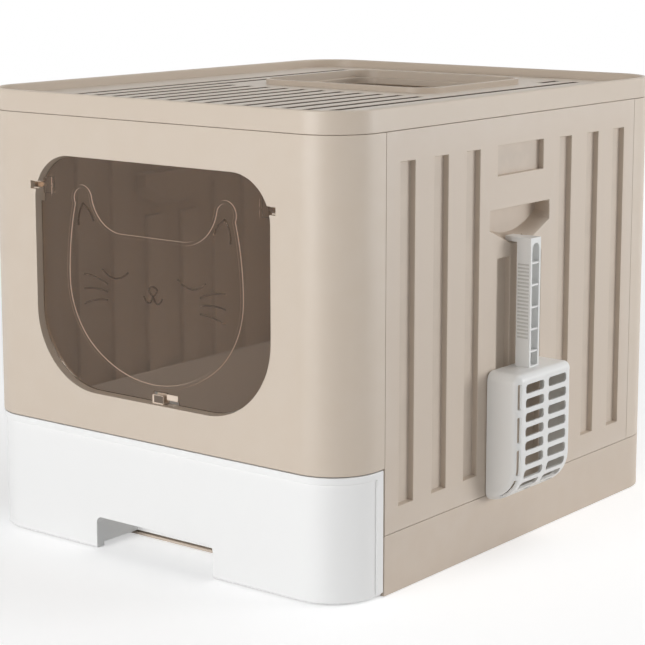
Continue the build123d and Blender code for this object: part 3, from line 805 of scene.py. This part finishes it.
@dataclass
class Lid:
    """Slotted lid with its exit hole."""

    edge: float = 0.4 * MM
    deck_top: float = 385.0
    deck_bottom: float = 382.2
    lip: float = 0.5
    upright: float = 0.35
    rim_reach: tuple[float, float] = (180.0, 220.0)

    def build(self) -> list[bpy.types.Object]:
        """Build the lid, with painted shade on the walls of its slots.

        Returns:
            The lid, alone.
        """
        mesh = welded("lid")
        round_edges(mesh, self.edge)
        # The slot walls take the second finish, slot_shade: painted shade.
        for face in mesh.faces:
            face.material_index = int(self.in_slot(face))
        lid = finished(mesh, "lid_moulding", LID_BEIGE, "lid", ("lid",))
        lid.data.materials.append(SLOT_SHADE.material())
        return [lid]

    def in_slot(self, face: bmesh.types.BMFace) -> bool:
        """Tell whether a face is a wall within the deck's thickness, well inside the rim.

        Args:
            face: A face of the lid.

        Returns:
            True for such a wall.
        """
        place = face.calc_center_median() / MM
        inside = abs(place.x) < self.rim_reach[0] and abs(place.y) < self.rim_reach[1]
        low = self.deck_bottom - self.lip < place.z < self.deck_top - self.lip
        return inside and low and abs(face.normal.z) < self.upright


@dataclass
class Door:
    """See-through flap with a cat's head in raised lines, and the catch on the sill."""

    edge: float = 0.35 * MM
    front: float = -243.0
    proud: float = 0.1
    pad_reach: float = 116.0
    flat: float = 0.9
    face_centre: float = 229.0
    line_radius: float = 0.8 * MM
    line_steps: int = 12
    eye_apart: float = 43.0
    eye_rise: float = 17.0
    eye_half: float = 15.0
    eye_sag: float = 6.5
    nose_half: float = 5.0
    nose_rise: float = 6.0
    nose_arch: float = 2.0
    nose_bend: float = 0.8
    mouth_half: float = 10.5
    mouth_drop: float = 1.0
    mouth_sag: float = 5.5
    whisker_start: float = 52.0
    whisker_length: float = 27.0
    whisker_gap: float = 8.5
    whisker_drop: float = 2.0
    whisker_fan: tuple[float, float] = (0.8, 1.5)
    whisker_bend: float = 1.6
    ear_inner: Point = (67.0, 286.0)
    ear_top: Point = (79.0, 300.5)
    ear_outer: Point = (84.5, 281.0)
    ear_bends: tuple[float, float] = (1.5, 2.0)
    hollow_rim: float = 1.3 * MM
    hollow_depth: float = 0.9 * MM
    hollow_floor: float = 0.05 * MM
    front_decimals: int = 5
    facing_low: Triple = (14.3, -243.55, 143.3)
    facing_high: Triple = (26.7, -242.95, 148.2)
    facing_round: float = 1.2 * MM
    facing_steps: int = 5
    facing_depth: float = 0.1 * MM
    facing_edge: float = 0.15 * MM

    def build(self) -> list[bpy.types.Object]:
        """Build the flap, its face lines and the catch.

        Returns:
            The pieces on the door's body and the one on the catch's.
        """
        flap = welded("door_flap")
        round_edges(flap, self.edge)
        # The slopes of the raised lines take the pale peach painted highlight.
        for face in flap.faces:
            face.material_index = int(self.on_raised_line(face))
        pane = finished(
            flap, "door_flap_pane", SMOKED_DOOR, "door", ("door_flap",)
        )
        pane.data.materials.append(RAISED_LINE_HIGHLIGHT.material())
        lines = grown(
            self.face_lines(), "face_lines", bead_tree(), FACE_LINE, {"Radius": self.line_radius}
        )
        return [
            pane,
            finished(lines, "door_face_lines", FACE_LINE, "door"),
            self.tab_facing(),
            self.catch(),
        ]

    def on_raised_line(self, face: bmesh.types.BMFace) -> bool:
        """Tell whether a face is the slope of a line that stands off the pane's front.

        Args:
            face: A face of the flap.

        Returns:
            True for such a slope.
        """
        place = face.calc_center_median() / MM
        off_front = place.y < self.front - self.proud and abs(place.x) < self.pad_reach
        return off_front and abs(face.normal.y) < self.flat

    def catch(self) -> bpy.types.Object:
        """Build the fork on the sill, with a thumb hollow in its front whose floor and walls are
        painted dark brown as shade.

        Returns:
            The catch.
        """
        mesh = welded("door_catch")
        front = min(mesh.faces, key=lambda face: (
            round(face.calc_center_median().y, self.front_decimals), -face.calc_area()
        ))
        hollow = bmesh.ops.inset_region(
            mesh, faces=[front], thickness=self.hollow_rim, depth=-self.hollow_depth
        )
        dark = [front, *hollow["faces"]]
        round_edges(mesh, self.edge, {edge for face in hollow["faces"] for edge in face.edges})
        deep = front.calc_center_median().y - self.hollow_floor
        # The sunk faces of the hollow take the dark brown painted shade.
        for face in mesh.faces:
            face.material_index = int(face in dark and face.calc_center_median().y > deep)
        piece = finished(
            mesh, "door_catch_fork", CATCH_BEIGE, "catch", ("door_catch",)
        )
        piece.data.materials.append(CATCH_HOLLOW_SHADE.material())
        return piece

    def tab_facing(self) -> bpy.types.Object:
        """Build the thin beige facing on the pane's tab, beside the catch.

        Returns:
            The facing.
        """
        mesh = bmesh.new()
        low, high = Vector(self.facing_low) * MM, Vector(self.facing_high) * MM
        place = Matrix.Translation((low + high) / 2) @ Matrix.Diagonal((*(high - low), 1.0))
        bmesh.ops.create_cube(mesh, size=1.0, matrix=place)
        across = [
            edge for edge in mesh.edges
            if abs(edge.verts[0].co.y - edge.verts[1].co.y) > self.facing_depth
        ]
        bmesh.ops.bevel(
            mesh, geom=across, offset=self.facing_round, offset_type="OFFSET",
            segments=self.facing_steps, profile=ROUND_PROFILE, affect="EDGES",
        )
        round_edges(mesh, self.facing_edge)
        return finished(mesh, "door_tab_facing", CATCH_BEIGE, "door")

    def face_lines(self) -> bpy.types.Curve:
        """Draw the nose, mouth, closed eyes, whiskers and inner ears on the pane's front.

        Returns:
            The lines, as one curve.
        """
        middle = (0.0, self.face_centre)
        mouth = self.face_centre - self.mouth_drop
        nose = self.face_centre + self.nose_rise
        arcs = [
            (middle, (self.mouth_half, mouth), -self.mouth_sag),
            ((-self.mouth_half, mouth), middle, -self.mouth_sag),
            ((-self.nose_half, nose), (self.nose_half, nose), self.nose_arch),
        ]
        for side in (-1.0, 1.0):
            arcs.append(((side * self.nose_half, nose), middle, side * self.nose_bend))
            arcs.extend(self.side_arcs(side))
        drawn = bpy.data.curves.new("face_lines", "CURVE")
        drawn.dimensions = "3D"
        for start, end, rise in arcs:
            self.bow(drawn, start, end, rise)
        return drawn

    def side_arcs(self, side: float) -> list[Arc]:
        """List the eye, whiskers and inner ear of one side.

        Args:
            side: -1 for the left side, 1 for the right.

        Returns:
            Start, end and rise of each arc, in millimetres.
        """
        eye, eye_z = side * self.eye_apart, self.face_centre + self.eye_rise
        arcs = [((eye - self.eye_half, eye_z), (eye + self.eye_half, eye_z), -self.eye_sag)]
        near = side * self.whisker_start
        far = side * (self.whisker_start + self.whisker_length)
        for row in (-1, 0, 1):
            near_z, far_z = (
                self.face_centre - self.whisker_drop + row * self.whisker_gap * spread
                for spread in self.whisker_fan
            )
            arcs.append(((near, near_z), (far, far_z), side * self.whisker_bend))
        inner, top, outer = (
            (side * x, z) for x, z in (self.ear_inner, self.ear_top, self.ear_outer)
        )
        arcs.append((inner, top, side * self.ear_bends[0]))
        arcs.append((top, outer, side * self.ear_bends[1]))
        return arcs

    def bow(self, drawn: bpy.types.Curve, start: Point, end: Point, rise: float) -> None:
        """Add one shallow arc to the drawn lines.

        Args:
            drawn: The curve that holds the lines.
            start: X and Z of the arc's start, in millimetres.
            end: X and Z of its end.
            rise: How far its middle stands off the straight line, to the left of its way.
        """
        way = Vector((end[0] - start[0], 0.0, end[1] - start[1]))
        off = Vector((-way.z, 0.0, way.x)).normalized()
        base = Vector((start[0], self.front, start[1]))
        line = drawn.splines.new("POLY")
        line.points.add(self.line_steps)
        for index in range(self.line_steps + 1):
            share = index / self.line_steps
            swell = 4 * share * (1 - share)      # 0 at both ends and 1 in the middle
            place = base + way * share + off * rise * swell
            line.points[index].co = (*(place * MM), 1.0)


@dataclass
class Drawer:
    """White drawer: tray and fascia in one moulding."""

    edge: float = 0.6 * MM

    def build(self) -> list[bpy.types.Object]:
        """Build the drawer.

        Returns:
            The drawer, alone.
        """
        mesh = welded("drawer")
        round_edges(mesh, self.edge)
        return [
            finished(mesh, "drawer_moulding", DRAWER_WHITE, "drawer", ("drawer",))
        ]


@dataclass
class Scoop:
    """Slotted scoop that hangs on the right-hand panel, with fine grip ribs on its handle."""

    edge: float = 0.22 * MM
    rib_count: int = 21
    rib_pitch: float = 3.15
    rib_radius: float = 0.8
    first_rib: float = 184.5
    handle_in: float = 209.0
    handle_out: float = 223.0
    handle_half: float = 8.0
    centre: float = -6.0
    rib_margin: float = 1.6

    def build(self) -> list[bpy.types.Object]:
        """Build the scoop.

        Returns:
            The scoop and its grip ribs.
        """
        mesh = welded("scoop")
        round_edges(mesh, self.edge)
        return [
            finished(mesh, "scoop_moulding", SCOOP_WHITE, "scoop", ("scoop",)),
            self.grip_ribs(),
        ]

    def grip_ribs(self) -> bpy.types.Object:
        """Build the fine ribs across both narrow sides of the handle.

        Returns:
            The ribs of both sides, as one piece.
        """
        tree = ribs_tree()
        length = self.handle_out - self.handle_in - 2 * self.rib_margin
        both = bmesh.new()
        for side in (-1, 1):
            start = (self.handle_in + self.rib_margin, self.centre + side * self.handle_half,
                     self.first_rib)
            # The ribs are dressed in the greyer white, painted shade.
            row = grown(
                bpy.data.meshes.new("grip_row"), "grip_row", tree, GRIP_SHADE,
                {"Count": self.rib_count, "Start": tuple(part * MM for part in start),
                 "Pitch": (0.0, 0.0, self.rib_pitch * MM), "Along": (length * MM, 0.0, 0.0),
                 "Radius": self.rib_radius * MM},
            )
            joined = bpy.data.meshes.new("grip_row")
            row.to_mesh(joined)
            row.free()
            both.from_mesh(joined)
            bpy.data.meshes.remove(joined)
        return finished(both, "scoop_grip_ribs", GRIP_SHADE, "scoop")


# ---------------------------------------------------------------------------------------- studio
@dataclass(frozen=True)
class Softbox:
    """Square soft lamp that faces a point."""

    name: str
    place: Triple
    facing: Triple
    side: float
    watts: float

    def set_up(self) -> None:
        """Put the lamp in the scene, out of the camera's sight."""
        lamp = bpy.data.lights.new(self.name, "AREA")
        lamp.shape = "SQUARE"
        lamp.size = self.side
        lamp.energy = self.watts
        way = Vector(self.facing) - Vector(self.place)
        holder = bpy.data.objects.new(self.name, lamp)
        holder.location = self.place
        holder.rotation_euler = way.to_track_quat("-Z", "Y").to_euler()
        holder.visible_camera = False
        bpy.context.scene.collection.objects.link(holder)


@dataclass
class Studio:
    """Camera, pale floor, white surroundings and soft lamps. Lengths are in metres."""

    camera_place: Triple = (1.0965, -1.4220, 0.5277)
    camera_turn: float = 37.93
    camera_tilt: float = 9.43
    level: float = 90.0
    lens: float = 110.05
    film: float = 36.0
    rise: float = -0.10
    sight: tuple[float, float] = (0.05, 60.0)
    floor_side: float = 12.0
    floor_drop: float = 0.3 * MM
    floor_tone: tuple[float, float, float, float] = (0.8, 0.8, 0.8, 1.0)
    floor_lift: float = 0.47
    near_floor: float = 0.9
    far_floor: float = 2.2
    sky_tone: tuple[float, float, float, float] = (0.97, 0.98, 1.0, 1.0)
    sky_strength: float = 0.24
    lamps: tuple[Softbox, ...] = field(default_factory=lambda: (
        Softbox("key_softbox", (-0.25, -3.0, 0.5), (0.0, -0.1, 0.10), 1.3, 54.5),
        Softbox("side_softbox", (2.4, 1.7, 0.5), (0.1, 0.1, 0.15), 1.3, 41.0),
        Softbox("top_softbox", (0.6, 0.9, 2.6), (0.0, 0.0, 0.3), 1.6, 16.0),
    ))

    def build(self) -> list[bpy.types.Object]:
        """Set up the studio.

        Returns:
            The floor, alone.
        """
        bpy.context.scene.view_settings.view_transform = "Standard"
        self.place_camera()
        self.light_surroundings()
        for lamp in self.lamps:
            lamp.set_up()
        return [self.lay_floor()]

    def place_camera(self) -> None:
        """Put the camera where the photograph was taken from."""
        camera = bpy.data.cameras.new("camera")
        camera.lens = self.lens
        camera.sensor_width = self.film
        camera.shift_y = self.rise
        camera.clip_start, camera.clip_end = self.sight
        holder = bpy.data.objects.new("camera", camera)
        holder.location = self.camera_place
        holder.rotation_euler = (
            math.radians(self.level - self.camera_tilt), 0.0, math.radians(self.camera_turn)
        )
        bpy.context.scene.collection.objects.link(holder)
        bpy.context.scene.camera = holder

    @staticmethod
    def seen_plainly(wiring: Wiring) -> bpy.types.NodeSocket:
        """Find the rays that show the surroundings: straight, mirrored or through the door.

        Args:
            wiring: Wiring of the floor's material or of the world.

        Returns:
            1 for such a ray, 0 for others.
        """
        path = wiring.add("ShaderNodeLightPath").outputs
        shown = wiring.math("ADD", path["Is Camera Ray"], path["Is Glossy Ray"])
        shown = wiring.math("ADD", shown, path["Is Transmission Ray"])
        return wiring.math("MINIMUM", shown, 1.0)

    def light_surroundings(self) -> None:
        """Make surroundings that show white and light the object only softly."""
        world = bpy.data.worlds.new("surroundings")
        world.use_nodes = True
        wiring = Wiring(world.node_tree)
        soft = wiring.add(
            "ShaderNodeBackground", Color=self.sky_tone, Strength=self.sky_strength
        )
        white = wiring.add("ShaderNodeBackground", Color=WHITE, Strength=1.0)
        shown = wiring.mixed(self.seen_plainly(wiring), soft.outputs[0], white.outputs[0])
        wiring.add("ShaderNodeOutputWorld", Surface=shown)
        bpy.context.scene.world = world

    def lay_floor(self) -> bpy.types.Object:
        """Lay the pale floor, a hair below the object's feet.

        Returns:
            The floor.
        """
        mesh = bmesh.new()
        bmesh.ops.create_grid(mesh, x_segments=1, y_segments=1, size=self.floor_side / 2)
        data = bpy.data.meshes.new("floor")
        mesh.to_mesh(data)
        mesh.free()
        data.transform(Matrix.Translation((0.0, 0.0, -self.floor_drop)))
        data.materials.append(self.floor_white())
        floor = bpy.data.objects.new("floor", data)
        bpy.context.scene.collection.objects.link(floor)
        return floor

    def floor_white(self) -> bpy.types.Material:
        """Build a white that keeps the object's shadow, fades out far off and is clear from below.

        Returns:
            The material.
        """
        made = bpy.data.materials.new("floor_white")
        made.use_nodes = True
        wiring = Wiring(made.node_tree)
        reach = wiring.add("ShaderNodeVectorMath", {"operation": "LENGTH"})
        wiring.feed_all(reach, 0, wiring.place())
        far = wiring.ramp(reach.outputs["Value"], self.near_floor, self.far_floor, 0.0, 1.0)
        matt = wiring.add("ShaderNodeBsdfDiffuse", Color=self.floor_tone).outputs[0]
        lift = wiring.add("ShaderNodeEmission", Color=WHITE, Strength=self.floor_lift)
        near = wiring.feed_all(wiring.add("ShaderNodeAddShader"), 0, matt, lift.outputs[0])
        white = wiring.add("ShaderNodeEmission", Color=WHITE, Strength=1.0)
        shown = wiring.mixed(far, near, white.outputs[0])
        lit = wiring.mixed(self.seen_plainly(wiring), matt, shown)
        clear = wiring.add("ShaderNodeBsdfTransparent")
        below = wiring.add("ShaderNodeNewGeometry").outputs["Backfacing"]
        wiring.add(
            "ShaderNodeOutputMaterial", Surface=wiring.mixed(below, lit, clear.outputs[0])
        )
        return made


def main() -> None:
    """Build the studio and the object's sub-assemblies, in order."""
    logging.basicConfig(level=logging.INFO, format="%(name)s: %(message)s")
    for assembly in (Studio(), Casing(), Lid(), Door(), Drawer(), Scoop()):
        for piece in assembly.build():
            log.info("%s: %s, %d faces", type(assembly).__name__, piece.name,
                     len(piece.data.polygons))


if __name__ == "__main__":
    main()
